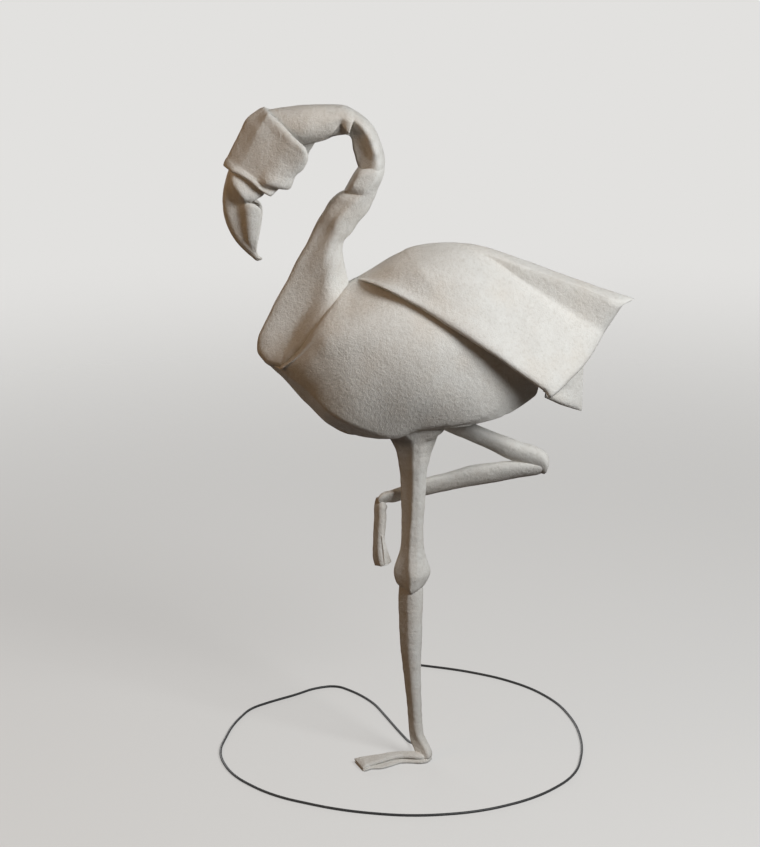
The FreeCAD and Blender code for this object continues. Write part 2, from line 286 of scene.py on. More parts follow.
wings = dict(
    rows=[
        # the ridge of the back, the two folds of the narrow upright strip, then down the side
        [(-19.4, 0, 187.1), (-11.5, 0, 191.7), (-6.5, 0, 194.6), (-1.8, 0, 197.2), (5.4, 0, 199),
         (13.7, 0, 199.4), (24.5, 0, 198.3), (44.4, 0, 191.6), (63.7, 0, 184.4),
         (80.5, 0, 178.8)],
        [(-19.3, 0.2, 187.1), (-11.2, 2, 191.6), (-6.1, 2.7, 194.4), (-1, 3, 196.4),
         (6.8, 2.8, 198.3), (15, 2.6, 198.6), (25.2, 3.6, 196.8), (43, 4.9, 190.7),
         (60.5, 5.2, 184.6), (76, 4.8, 178.2)],
        [(-19.2, 0.6, 186.9), (-10.8, 5, 190.8), (-5.5, 6.8, 193.4), (0.2, 7.4, 195.2),
         (8.7, 6, 197.2), (16.9, 4.6, 197.8), (26.9, 4, 195.2), (41.9, 4.4, 185.1),
         (56.5, 4.6, 175.7), (69.9, 4.2, 167.9)],
        [(-19.1, 1, 186.8), (-10.1, 9, 188.8), (-2.6, 13, 190.4), (4.1, 15.2, 191.6),
         (14, 15.2, 191.6), (22.3, 14.6, 189.6), (32.9, 13.2, 182.5), (44.7, 13.1, 174.5),
         (55.1, 13.4, 166.8), (63.4, 12, 159.4)],
        [(-18.9, 1.4, 186.7), (-9.8, 12.8, 187.7), (0.9, 18.2, 185.5), (9.7, 21, 183.2),
         (18.8, 22.5, 179.9), (27.1, 22.9, 175.6), (36.3, 22.6, 168.9), (45.7, 23.6, 161.9),
         (52.1, 23.5, 157), (56.7, 19.8, 154.5)],
        [(-18.8, 1.8, 186.6), (-9.8, 15.6, 186.5), (4, 21.6, 180.1), (14.2, 25, 174.3),
         (23, 27.5, 169.1), (30.8, 28.5, 164.2), (37.6, 28.6, 159.2), (43.8, 28.4, 154.6),
         (47.2, 27.6, 151.8), (49, 26, 149.2)],
    ],
    foldRows=(1, 2), foldColumns=(3,),
    edgeRoll=(1.7, 5.0), rearRoll=(1.4, 2.5),      # how thick, how wide
    surface=dict(seed=4.1),
)
wing = sheet(rolledEnd(rolled(wings["rows"], *wings["edgeRoll"]), *wings["rearRoll"]),
             foldRows=wings["foldRows"], foldColumns=wings["foldColumns"])
paperPiece("wings", [wing, mirrored(wing)], **wings["surface"])


tailFold = dict(
    rows=[
        # from the tail down, each row from the body to the fold plane
        [(47.8, 6, 168.6), (55.3, 4.4, 170.1), (67.2, 0, 174.7)],
        [(49.1, 6, 157.4), (55.9, 4, 157), (63.3, 0, 159.7)],
        [(49.3, 5.4, 147.9), (56.2, 3.4, 146.2), (62.6, 0, 149.1)],
        [(48.7, 4.8, 143.3), (55.6, 3, 139.8), (62.5, 0, 136.6)],
    ],
    edgeRoll=(1.2, 2.0),
    surface=dict(seed=7.7),
)
tail = sheet(rolled(tailFold["rows"], *tailFold["edgeRoll"]))
paperPiece("tail_fold", [tail, mirrored(tail)], **tailFold["surface"])
print("body made")


neck = dict(
    upper=[
        # inner edge, outer edge (along, up), then share of the way across and half depth
        # at the lip, the middle and the ridge
        ((-45.5, 233.5), (-52, 247.5), (0.02, 0.5), (0.3, 2.6), (0.68, 2.8)),
        ((-40, 235), (-45, 248.3), (0.02, 0.8), (0.3, 4.6), (0.68, 4.8)),
        ((-35, 236), (-39, 249), (0.02, 1), (0.3, 5.5), (0.66, 5.9)),
        ((-31, 237), (-33, 249.2), (0.06, 2), (0.3, 5.2), (0.64, 6)),
        ((-28, 238.5), (-27.8, 249.2), (0.2, 4.6), (0.4, 5.4), (0.64, 5.8)),
        ((-25.6, 239.2), (-24.4, 249), (0.42, 4.6), (0.54, 5.4), (0.7, 5.6)),
        ((-24.2, 239.2), (-22.8, 248.5), (0.3, 5.7), (0.5, 6.2), (0.7, 6)),
        ((-23.2, 239), (-20.8, 247.4), (0.2, 6.6), (0.45, 7), (0.72, 6.3)),
        ((-22.8, 238.9), (-20, 247), (0.06, 1.2), (0.42, 2.4), (0.74, 5.9)),
        ((-21.5, 237), (-16, 244), (0.06, 0.8), (0.42, 2.6), (0.76, 6.7)),
        ((-21.2, 235.2), (-14.3, 242), (0.06, 0.8), (0.42, 2.3), (0.74, 5.8)),
        ((-21, 233.5), (-13, 240), (0.06, 0.8), (0.42, 2.6), (0.76, 6.8)),
        ((-20.4, 231.4), (-11.8, 237), (0.06, 0.8), (0.42, 2.5), (0.74, 6)),
        ((-20, 229.5), (-11, 234.5), (0.06, 0.8), (0.42, 2.8), (0.76, 6.8)),
        ((-19.5, 228), (-10.4, 232), (0.06, 0.9), (0.4, 3.4), (0.74, 5.8)),
        ((-19, 226.5), (-10, 229.5), (0.06, 1), (0.4, 4.5), (0.74, 6.3)),
        ((-20.5, 223.5), (-10.8, 225), (0.06, 1), (0.36, 4.6), (0.7, 5.6)),
    ],
    upperFolds=(7, 8),
    crown=(0.93, 0.55),          # share of the way across, share of the ridge's depth
    farMiddle=(0.3, 0.6),        # share of the way across, how much deeper than the near side
    farLip=0.8,                  # how far the far side's edge stands out
    farTuck=7, tuckFrom=0.06,    # and how it tucks under where the near lip draws back
    lining=[
        # the layer that closes the inside of the arch
        [(-30, 1.5, 238.6), (-27, 2.4, 239.4), (-24.5, 2.6, 239.6), (-22.4, 1.6, 238.9)],
        [(-30, 3.2, 241), (-27, 3.6, 242.2), (-24.5, 3.8, 242.6), (-22.4, 3, 241.2)],
        [(-29.5, 3.8, 243.5), (-27, 4.2, 244.5), (-24.5, 4.2, 245), (-22.6, 3.6, 243.5)],
    ],
    lower=[
        # front edge, rear edge (along, up), where the ridge and the valley lie across,
        # half depths from front to rear
        ((-18.6, 226), (-11.2, 227.6), 0.66, 0.9, (3, 4.4, 4.4, 2, 0.6)),
        ((-19, 227.2), (-10.2, 228), 0.7, 0.92, (3.8, 5.6, 5.8, 2.8, 0.8)),
        ((-20, 225.8), (-10, 226.6), 0.72, 0.92, (4.6, 6.7, 6.5, 3.6, 1.2)),
        ((-21.4, 223.6), (-10.6, 224), 0.72, 0.92, (4.6, 6.8, 6.8, 4.6, 1.8)),
        ((-23.2, 220.2), (-12.4, 219.6), 0.64, 0.88, (4, 6.5, 6.8, 4.4, 1.8)),
        ((-24.1, 218.4), (-13, 217.8), 0.6, 0.88, (1.9, 4.3, 6.3, 4.2, 1.8)),
        ((-26, 217.6), (-14, 215.6), 0.56, 0.86, (2.9, 5.6, 6.7, 4.4, 1.8)),
        ((-29, 215), (-16, 211.5), 0.5, 0.85, (2.6, 5.2, 6.6, 4.4, 1.8)),
        ((-31.5, 211), (-19, 208), 0.46, 0.85, (2.4, 5.2, 6.6, 4.4, 1.8)),
        ((-35, 205.5), (-22, 203.5), 0.54, 0.86, (1.2, 3.4, 5.9, 4.4, 1.6)),
        ((-38, 199), (-24.5, 201), 0.6, 0.86, (1, 3.1, 5.8, 4.6, 2.2)),
        ((-41.5, 193), (-25.5, 197), 0.62, 0.8, (0.9, 2.8, 5.7, 5.6, 2.6)),
        ((-44.5, 187), (-25, 192.5), 0.58, 0.76, (0.8, 2.7, 5.1, 6.4, 2.6)),
        ((-48, 180.5), (-24, 188), 0.52, 0.72, (0.8, 2.6, 4.2, 6.8, 1.4)),
        ((-51, 174.5), (-22.5, 182), 0.5, 0.72, (0.8, 2.8, 4.6, 8.5, 3)),
        ((-53.5, 169), (-21.5, 177.5), 0.45, 0.64, (0.9, 3, 4.7, 11.2, 11)),
        ((-55.5, 164.5), (-21, 173), 0.4, 0.56, (1.2, 3.5, 5, 12.4, 12.6)),
        ((-56, 161), (-21.5, 169), 0.36, 0.48, (1.6, 4.2, 5.6, 11.9, 12)),
        ((-55.9, 158.8), (-23, 166), 0.3, 0.42, (2.2, 4.6, 6.2, 10, 10.4)),
        ((-55, 157.1), (-25.5, 163), 0.28, 0.37, (2.6, 5.6, 7.2, 9.2, 9.4)),
        ((-53.9, 155.8), (-28.5, 160.3), 0.26, 0.34, (2.8, 6, 7.6, 8.2, 8.4)),
        ((-52.8, 154.8), (-31.5, 158), 0.26, 0.36, (2.4, 5.2, 7, 8, 8)),
        ((-50, 153.4), (-33, 155), 0.26, 0.36, (1.6, 4.2, 6.4, 8.4, 8.6)),
    ],
    lowerFolds=(1, 5),
    frontShare=0.05, flankShare=0.32, ridgeGap=0.08,      # shares of the way across
    surface=dict(dents=0.22, seed=11.0),
)


def acrossNeck(front, rear, steps):
    # points across: share of the way from the front edge to the rear edge, and how far out
    return [(front[0] + (rear[0] - front[0]) * share, out, front[1] + (rear[1] - front[1]) * share)
            for share, out in steps]


nearRows, farRows, lowerRows = [], [], []
for inner, outer, lip, waist, ridge in neck["upper"]:
    crown = (ridge, (neck["crown"][0], ridge[1] * neck["crown"][1]), (1, 0))
    edgeOut = neck["farLip"] - neck["farTuck"] * max(0, lip[0] - neck["tuckFrom"])
    farWaist = (neck["farMiddle"][0], waist[1] + neck["farMiddle"][1])
    nearRows.append(acrossNeck(inner, outer, (lip, waist, *crown)))
    farRows.append(acrossNeck(inner, outer, ((0, edgeOut), farWaist, *crown)))
for front, rear, ridge, valley, depths in neck["lower"]:
    flank = min(neck["flankShare"], ridge - neck["ridgeGap"])
    shares = (0, neck["frontShare"], flank, ridge, valley, 1, 1)
    lowerRows.append(acrossNeck(front, rear, zip(shares, (0, *depths, 0))))
upperNear = sheet(nearRows, cell=0.9, foldRows=neck["upperFolds"])
upperFar = mirrored(sheet(farRows, cell=0.9, foldRows=neck["upperFolds"]))
lowerNeck = sheet(lowerRows, cell=1.0, foldRows=neck["lowerFolds"])
neckSheets = [upperNear, upperFar, lowerNeck, mirrored(lowerNeck), sheet(neck["lining"])]
paperPiece("neck", neckSheets, **neck["surface"])


hood = dict(
    rows=[
        # from the crown down to the beak; each row runs from the fold plane to the rear
        [(-52.6, 0, 248.3), (-50.8, 4.2, 246.9), (-46, 7, 242.7), (-42.2, 9.4, 239.2),
         (-38.1, 10.6, 235.8)],
        [(-55.8, 0, 246.5), (-52.9, 4.8, 243.7), (-48.2, 7.2, 239.2), (-43.2, 10, 235.6),
         (-37.2, 10.6, 232.6)],
        [(-58.9, 0, 243.7), (-55.3, 4.8, 239.3), (-50.4, 7.4, 234.6), (-44.9, 9.6, 230.7),
         (-38.6, 9.2, 228.8)],
        [(-62.7, 0, 236.5), (-58.3, 4.6, 232.6), (-52.9, 7.6, 228.9), (-47.6, 9.8, 226.2),
         (-41.9, 8.4, 225.4)],
        [(-65, 0, 232.2), (-61.1, 4.4, 228.4), (-55, 7.6, 224.5), (-50.1, 10.4, 222.6),
         (-44.2, 8, 220.9)],
        [(-65.8, 0, 230.6), (-62.4, 4.3, 227.8), (-56.2, 7.5, 224.3), (-51.3, 8, 221.4),
         (-46.8, 6, 221.3)],
        [(-67.1, 0, 228), (-64.4, 4, 226.7), (-58, 7.2, 223.9), (-53.3, 8.6, 220.1),
         (-50.2, 7.6, 218.3)],
    ],
    foldRows=(1,), foldColumns=(1,),
    lowerRoll=(1.0, 1.2), upperRoll=(1.2, 1.4), rearRoll=(1.6, 1.8),      # how thick, how wide
    farFlap=[
        # a corner of the sheet that shows behind the hood
        [(-42, -5, 234.5), (-34.8, -5.5, 235.2)],
        [(-41, -5.2, 231), (-36.4, -6, 232.5)],
        [(-40, -5.4, 229), (-38.1, -6.4, 229.8)],
    ],
    surface=dict(dents=0.34, grain=0.08, seed=15.0),
)
hoodRows = rolled(rolled(hood["rows"], *hood["lowerRoll"])[::-1], *hood["upperRoll"])
cowl = sheet(rolledEnd(hoodRows, *hood["rearRoll"]), cell=0.7, foldRows=hood["foldRows"],
             foldColumns=hood["foldColumns"], soften=0)
farFlap = sheet(hood["farFlap"], cell=0.9)
paperPiece("hood", [cowl, mirrored(cowl), farFlap], **hood["surface"])


beak = dict(
    rows=[
        # front edge, rim, valley, ridge, lobe, rear edge, from the root to the tip
        [(-62.8, 0, 231.5), (-62, 1.6, 231.5), (-61.2, 2.2, 231.4), (-60.1, 3, 230.8),
         (-56.9, 4.2, 228.6), (-53.4, 4.4, 224.7)],
        [(-65.4, 0, 226.1), (-64.6, 1.4, 226.1), (-64, 2.2, 226), (-63.2, 3.6, 225.9),
         (-58.8, 5.2, 223.4), (-52.4, 5.4, 219.2)],
        [(-66.6, 0, 221.8), (-65.7, 2.2, 222.2), (-64.6, 3, 222.2), (-63.4, 6, 222.8),
         (-58.8, 6.8, 220.7), (-53.5, 6.2, 217.9)],
        [(-67.2, 0, 218.9), (-66.3, 2.2, 219), (-64.3, 2.8, 219.1), (-62, 7.4, 220.1),
         (-58.8, 7.4, 218.7), (-56.1, 6.4, 216.5)],
        [(-67.5, 0, 216), (-66.3, 2.2, 216.3), (-63.7, 2.5, 216.4), (-59.9, 7.4, 217.2),
         (-58.7, 7.2, 216.8), (-57.3, 5.6, 215.7)],
        [(-67.6, 0, 214.2), (-66.2, 2.2, 214.5), (-63, 2.4, 214.7), (-59.2, 5.8, 215.5),
         (-58.4, 4.6, 215.1), (-57.4, 3.2, 214.6)],
        [(-67.5, 0, 212.3), (-65.9, 2.2, 212.7), (-62.5, 2.4, 212.9), (-58.9, 6, 213.9),
         (-56.4, 6, 214.4), (-54.4, 4.4, 213.1)],
        [(-67.2, 0, 209.8), (-65.4, 2.2, 210.2), (-62.1, 2.4, 210.4), (-58.6, 5.9, 211.4),
         (-56.1, 5.6, 211.7), (-53.8, 4, 211.1)],
        [(-66.2, 0, 206.1), (-64.4, 2.1, 206.9), (-61.4, 2.4, 207), (-58.4, 5.5, 207.8),
         (-56.2, 5, 208.1), (-54.2, 3.6, 207.6)],
        [(-64.6, 0, 202.5), (-63, 2, 203.4), (-60.7, 2.2, 203.8), (-58.4, 4.6, 204.3),
         (-56.4, 4.2, 204.5), (-54.9, 3, 203.8)],
        [(-62.6, 0, 199.5), (-61.3, 1.9, 200.7), (-59.9, 2, 201), (-58.2, 3.8, 201.5),
         (-56.7, 3.4, 201.4), (-55.5, 2.4, 200.6)],
        [(-60.2, 0, 197), (-59.4, 1.8, 198.3), (-58.6, 2, 198.7), (-57.7, 2.6, 199),
         (-56.8, 2.4, 198.9), (-56, 1.8, 198.1)],
        [(-57.7, 0, 194.7), (-57.4, 1.2, 195.8), (-57.1, 1.5, 196.2), (-56.7, 1.6, 196.5),
         (-56.2, 1.4, 196.4), (-56, 1, 195.9)],
        [(-55.7, 0, 193.1), (-55.7, 0.7, 193.8), (-55.6, 0.9, 194.2), (-55.5, 0.9, 194.5),
         (-55.4, 0.8, 194.6), (-55.2, 0.6, 194.5)],
        [(-54, 0, 193.6), (-54, 0.25, 193.8), (-54, 0.3, 193.9), (-54.1, 0.3, 194),
         (-54.2, 0.25, 194.1), (-54.2, 0.2, 194.1)],
    ],
    rearRoll=(0.9, 1.6),
    surface=dict(dents=0.15, seed=17.0),
)
bill = sheet(rolledEnd(beak["rows"], *beak["rearRoll"]), cell=0.7, soften=4)
paperPiece("beak", [bill, mirrored(bill)], **beak["surface"])
print("head made")


standingLeg = dict(
    upper=[
        # height, left and right edge, how far out the middle lies, half depth, the two folds
        # down the front (share of the width), how far the front dips
        (137, -11.4, 12.4, 9.6, 7, 0.2, 0.97, 0), (132.2, -9.7, 10.6, 9.2, 6.2, 0.31, 0.95, 0),
        (130.3, -8.7, 9.6, 8.8, 5.8, 0.4, 0.85, 0), (128.7, -7.9, 9, 8.4, 5.5, 0.48, 0.72, 0),
        (126.4, -6.6, 8.2, 8, 5.2, 0.485, 0.7, 0), (123.3, -5.3, 7.2, 7.5, 4.8, 0.47, 0.7, 0),
        (119, -4.6, 6.3, 6.9, 4.5, 0.477, 0.73, 0), (114.8, -4.1, 5.6, 6.3, 4.3, 0.485, 0.75, 0),
        (107.8, -3.6, 5.3, 5.5, 4.1, 0.472, 0.76, 0), (100.3, -3.4, 4.9, 4.8, 4, 0.455, 0.77, 0),
        (92, -3.3, 4.4, 4.3, 3.9, 0.415, 0.79, 0), (85.8, -3.5, 4.6, 4, 3.9, 0.38, 0.76, 0),
        (81.9, -4.4, 5.2, 4, 4.4, 0.39, 0.73, 0), (78.2, -5.7, 6.4, 4, 5.2, 0.42, 0.69, 0),
        (75, -6.1, 7.1, 4, 5.7, 0.445, 0.66, 0.3), (72.6, -5.7, 6.2, 4, 5.4, 0.46, 0.64, 0.9),
        (70.4, -4.8, 5, 4, 4.8, 0.46, 0.64, 1.7), (69.9, -4.4, 4.6, 4, 4.4, 0.46, 0.64, 2),
        (70.3, -4.1, 4.3, 4, 4, 0.46, 0.64, 2), (71.6, -4, 4.2, 4, 3.8, 0.46, 0.64, 1.4),
    ],
    lower=[
        (75, -3.2, 3.4, 4, 3, 0.42, 0.7, 0), (68.7, -4.2, 4.4, 4, 3.8, 0.38, 0.74, 0),
        (63.9, -4.3, 4.4, 4, 3.8, 0.38, 0.76, 0), (50.7, -3.8, 4, 4, 3.5, 0.4, 0.78, 0),
        (37.3, -2.8, 3.9, 4, 3.1, 0.4, 0.78, 0), (22.6, -1.2, 4.3, 4, 2.7, 0.4, 0.76, 0),
        (13, -0.4, 4.7, 4.2, 2.4, 0.42, 0.74, 0), (9.6, -0.1, 5.1, 4.4, 2.3, 0.5, 0.74, 0),
        (7.6, 0.3, 6, 4.8, 2.3, 0.6, 0.78, 0), (5.6, 1, 7.1, 5.4, 2.5, 0.66, 0.82, 0),
        (3.9, 1.9, 8, 6.2, 2.7, 0.68, 0.82, 0), (2.4, 2.4, 8.4, 6.8, 2.9, 0.66, 0.82, 0),
        (1.2, 2.8, 7.9, 7, 2.7, 0.62, 0.8, 0), (0.6, 3.4, 6.8, 7, 1.8, 0.6, 0.8, 0),
    ],
    surface=dict(thickness=0.55, dents=0.26, grain=0.11, seed=21.0),
)


def foldedLeg(z, left, right, axis, half, fold, turn, dip=0.0, drop=0.0):
    # one round of a flattened tube with a sharp fold down its front, as pairs of
    # share of the width and share of the half depth
    front = ((0, 0), (fold * 0.5, 0.42), (fold * 0.88, 0.82), (fold, 1),
             ((fold + turn) / 2, 0.99), (turn, 0.93), ((1 + turn) / 2, 0.58), (1, 0))
    back = ((0.8, -0.75), (0.5, -0.95), (0.2, -0.75), (0, 0))
    width = right - left
    ring = [(left + width * share, axis + half * out,
             z + drop * share - dip * (1 - abs(2 * share - 1))) for share, out in front]
    return ring + [(left + width * share, axis + half * out, z + drop * share)
                   for share, out in back]


frontFold = (3,)      # the column of the sharp fold in such a round
upperLeg = sheet([foldedLeg(*row) for row in standingLeg["upper"]], cell=0.75,
                 foldColumns=frontFold)
lowerLeg = sheet([foldedLeg(*row) for row in standingLeg["lower"]], cell=0.75, soften=3)
paperPiece("standing_leg", [upperLeg, lowerLeg], **standingLeg["surface"])


raisedLeg = dict(
    thigh=[
        # upper edge, lower edge, half depth
        ((15, 136), (3.25, 134), 3.6), ((24, 130.25), (11.75, 128.5), 3.4),
        ((28.75, 128.25), (19.75, 125), 3.2), ((35.25, 125.5), (29, 120.75), 3.1),
        ((41.25, 123.25), (36.5, 117), 3.1), ((46.75, 121.5), (42.75, 114.75), 3),
        ((49.9, 119.4), (46.6, 112.9), 2.8), ((51, 116.6), (48.6, 111.6), 2.4),
        ((50.8, 114.2), (49.4, 111.2), 1.8), ((50.4, 112.6), (49.8, 111.4), 1),
    ],
    thighAxis=-3.6, thighLean=0.7, thighRidge=0.25,
    shin=[
        # the same, and how far out the middle lies
        ((50.4, 115.4), (49.8, 111.4), 1.2, -4.5), ((50, 115.4), (47.6, 110.6), 2.2, -4.5),
        ((47, 115.8), (43, 109.6), 2.7, -4.5), ((39.75, 116), (35.5, 108.3), 2.9, -4.5),
        ((29, 115.25), (23, 105.9), 2.9, -4.5), ((21.5, 114), (13.75, 104.2), 2.9, -4.5),
        ((13.75, 111.75), (5.5, 102.3), 2.8, -4.4), ((5.5, 109.7), (-3.3, 100.7), 2.5, -3.6),
        ((-3, 107), (-6.6, 100.3), 2.2, -2), ((-7.6, 105.8), (-9.1, 100.8), 2, -0.6),
        ((-10.6, 105), (-10.4, 100.4), 1.8, 0.2), ((-12.2, 103.4), (-11.2, 100), 1.4, 0.4),
    ],
    shinLean=1.6,
    lips=(174, 176),             # degrees round from the outer edge, near side and far side
    toes=[
        # height at the left and the right edge, the edges, half depth, fold
        (103.2, 101.4, -12.6, -9.8, 1.4, 0.5), (100.6, 100.2, -13.4, -9.2, 1.9, 0.45),
        (98.9, 99.3, -13.6, -8.9, 2.1, 0.42), (98, 98.5, -13.6, -9.4, 1.9, 0.42),
        (95, 95.2, -13.6, -9.2, 2, 0.42), (92, 92.2, -13.8, -9.4, 1.9, 0.42),
        (86, 86, -14, -9.8, 1.9, 0.42), (82, 82, -14.1, -9.3, 2.1, 0.42),
        (79, 79.4, -14, -8.6, 2.3, 0.42), (76.4, 77.6, -13.4, -7.7, 2.5, 0.42),
    ],
    toesAxis=0.4, toesTurn=0.8, toesFoldRows=(3,),
    toeFlap=[
        # the edge of the fold that lies open along the toes
        [(-11, 2.5, 89), (-10.2, 2, 89)],
        [(-10.6, 2.6, 85.5), (-9.4, 1.8, 85.5)],
        [(-10.2, 2.8, 82), (-8.4, 1.7, 81.8)],
        [(-9.9, 3, 77.6), (-7.2, 1.6, 78.4)],
    ],
    surface=dict(thickness=0.5, dents=0.24, grain=0.09, seed=25.0),
)


def raisedStations(table, lean):
    # the flat side turned down a little: the upper edge nearer than the lower one
    return [((a[0], axis + lean, a[1]), (b[0], axis - lean, b[1]), half, *raisedLeg["lips"])
            for a, b, half, axis in table]


thighRows = [(*row, raisedLeg["thighAxis"]) for row in raisedLeg["thigh"]]
thigh = tube(raisedStations(thighRows, raisedLeg["thighLean"]), cell=0.9, squareness=1.0,
             ridge=raisedLeg["thighRidge"])
shin = tube(raisedStations(raisedLeg["shin"], raisedLeg["shinLean"]), cell=0.9, squareness=0.9)
toeRows = [foldedLeg(z, left, right, raisedLeg["toesAxis"], half, fold, raisedLeg["toesTurn"],
                     drop=low - z) for z, low, left, right, half, fold in raisedLeg["toes"]]
toes = sheet(toeRows, cell=0.7, foldRows=raisedLeg["toesFoldRows"], foldColumns=frontFold)
toeFlap = sheet(raisedLeg["toeFlap"], cell=0.7)
paperPiece("raised_leg", [thigh, shin, toes, toeFlap], **raisedLeg["surface"])


foot = dict(
    # near edge, far edge (along, out, up), half height
    sole=[
        ((-17.7, 17.7, 0.4), (-21.2, 9.6, 0.6), 0.05),
        ((-17.2, 17.6, 0.5), (-20.4, 9.6, 0.6), 0.4),
        ((-15, 16.2, 0.6), (-16.4, 9.2, 0.7), 0.5),
        ((-11, 15.7, 0.6), (-10.8, 8.6, 0.8), 0.5),
        ((-6.3, 12.8, 0.6), (-6.2, 6.8, 0.8), 0.55),
        ((-3.9, 10.9, 0.6), (-2.6, 6.2, 0.8), 0.55),
        ((0.5, 10.5, 0.6), (1, 5, 0.8), 0.55),
        ((4.4, 10.7, 0.6), (4.6, 4.4, 0.8), 0.55),
        ((7.2, 9, 0.7), (7.4, 4.8, 0.8), 0.5),
        ((8.2, 7, 0.7), (8.2, 5.8, 0.8), 0.3),
    ],
    instep=[
        ((-17.9, 17.2, 1.2), (-21.3, 9.2, 1.5), 0.05),
        ((-17.5, 17, 1.3), (-20.5, 9.2, 1.6), 0.4),
        ((-15.2, 15.4, 1.7), (-16.4, 8.8, 2.1), 0.6),
        ((-11.4, 13.6, 2.2), (-10.8, 8, 2.6), 0.7),
        ((-7.2, 10.8, 2.3), (-6.3, 6.4, 2.8), 0.7),
        ((-3.6, 9.4, 2.3), (-2.2, 6, 2.8), 0.7),
        ((0.6, 9.6, 2.3), (0.6, 6, 2.7), 0.7),
        ((3, 9.9, 2.2), (3.6, 5.6, 2.5), 0.7),
        ((5.8, 8.8, 1.8), (6.2, 5.6, 2), 0.5),
    ],
    lips=(176, 176),
    surface=dict(thickness=0.45, dents=0.1, seed=31.0),
)


def flatTube(stations):
    return tube([(*station, *foot["lips"]) for station in stations], cell=0.8, squareness=0.6,
                depthAxis=(0, 0, 1))


paperPiece("foot", [flatTube(foot["sole"]), flatTube(foot["instep"])], **foot["surface"])
print("legs made")


class Signal:
    # one socket's value; arithmetic on it adds Math nodes
    def __init__(self, finish, socket):
        self.finish = finish
        self.socket = socket

    def math(self, operation, *values):
        return self.finish.add("ShaderNodeMath", {"operation": operation}, dict(enumerate(values)))

    def most(self, other): return self.math("MAXIMUM", self, other)

    def __add__(self, other): return self.math("ADD", self, other)
    def __radd__(self, other): return self.math("ADD", other, self)
    def __sub__(self, other): return self.math("SUBTRACT", self, other)
    def __rsub__(self, other): return self.math("SUBTRACT", other, self)
    def __mul__(self, other): return self.math("MULTIPLY", self, other)
    def __rmul__(self, other): return self.math("MULTIPLY", other, self)


class Finish:
    # the nodes of one material, or of the world
    def __init__(self, name, home=None):
        self.material = home or bpy.data.materials.new(name)
        self.material.use_nodes = True
        self.tree = self.material.node_tree
        self.tree.nodes.clear()

    def add(self, kind, settings=None, inputs=None, output=0):
        node = self.tree.nodes.new(kind)
        for key, value in (settings or {}).items():
            setattr(node, key, value)
        for key, value in (inputs or {}).items():
            if isinstance(value, Signal):
                self.tree.links.new(value.socket, node.inputs[key])
            else:
                node.inputs[key].default_value = value
        return Signal(self, node.outputs[output]) if node.outputs else None

    def place(self):
        # where a point lies on its own piece, in metres
        return self.add("ShaderNodeTexCoord", output=3)

    def noise(self, place, scale, detail=2.0, roughness=0.5, distortion=0.0):
        return self.add("ShaderNodeTexNoise", None, {
            "Vector": place, "Scale": scale, "Detail": detail, "Roughness": roughness,
            "Distortion": distortion})

    def ramp(self, value, low, high):
        return self.add("ShaderNodeMapRange", {"interpolation_type": "SMOOTHSTEP"},
                        {"Value": value, "From Min": low, "From Max": high})

    def blend(self, share, first, second, mode="MIX"):
        return self.add("ShaderNodeMix", {"data_type": "RGBA", "blend_type": mode},
                        {0: share, 6: first, 7: second}, output=2)

    def bump(self, height, depth, strength=1.0):
        return self.add("ShaderNodeBump", None, {
            "Strength": strength, "Distance": depth * unit, "Height": height})

    def mixShader(self, share, first, second):
        return self.add("ShaderNodeMixShader", None, {0: share, 1: first, 2: second})

    def straightLook(self):
        # 1 where the camera, a reflection or a see-through piece looks, 0 for its own light
        seen = self.add("ShaderNodeLightPath")
        rays = seen.socket.node.outputs
        mirror, through = (Signal(self, rays[name])
                           for name in ("Is Glossy Ray", "Is Transmission Ray"))
        return seen.most(mirror).most(through)


def linear(red, green, blue):
    # a screen colour, 0 to 255, as the shader's own linear value
    parts = [c / 255 for c in (red, green, blue)]
    return (*(c / 12.92 if c <= 0.04045 else ((c + 0.055) / 1.055) ** 2.4 for c in parts), 1.0)


perMetre = 1000      # millimetres
paper = dict(
    light=linear(232, 229, 223), shade=linear(217, 212, 205), warm=linear(230, 220, 207),
    cloudScale=55,                                         # to the metre
    mottleSize=4.5, grainSize=1.4, fibreSize=0.5,          # millimetres
    mottleRange=(0.3, 0.7), cloudRange=(0.42, 0.75), paintedShadeRange=(0.52, 0.34),
    mottleShare=0.35, warmShare=0.4, paintedShadeShare=0.28,     # how much of each tint, and how much shade is painted into the grain's hollows
    grainDepth=0.5, grainPart=0.75, fibrePart=0.25,        # millimetres; shares of the height
    roughness=0.86, roughnessSpread=0.12, gloss=0.25,
)


def paperFinish():
    finish = Finish("heavy_paper")
    place = finish.place()
    cloud = finish.noise(place, paper["cloudScale"], 3)
    mottle = finish.noise(place, perMetre / paper["mottleSize"], 3, 0.6)
    grain = finish.noise(place, perMetre / paper["grainSize"], 5, 0.7, 0.15)
    fibre = finish.noise(place, perMetre / paper["fibreSize"], 2, 0.6, 1.2)
    shaded = finish.ramp(mottle, *paper["mottleRange"]) * paper["mottleShare"]
    warmed = finish.ramp(cloud, *paper["cloudRange"]) * paper["warmShare"]
    # painted shade: the colour is darkened where the grain's bump dips, as if its hollows lay in
    # shadow
    paintedGrainShade = finish.ramp(grain, *paper["paintedShadeRange"]) * paper["paintedShadeShare"]
    base = finish.blend(shaded, paper["light"], paper["shade"])
    base = finish.blend(warmed, base, paper["warm"])
    base = finish.blend(paintedGrainShade, base, paper["shade"], "MULTIPLY")
    shader = finish.add("ShaderNodeBsdfPrincipled", None, {
        "Base Color": base, "Specular IOR Level": paper["gloss"],
        "Roughness": paper["roughness"] + (mottle - 0.5) * paper["roughnessSpread"],
        "Normal": finish.bump(grain * paper["grainPart"] + fibre * paper["fibrePart"],
                              paper["grainDepth"])})
    finish.add("ShaderNodeOutputMaterial", None, {"Surface": shader})
    return finish.material


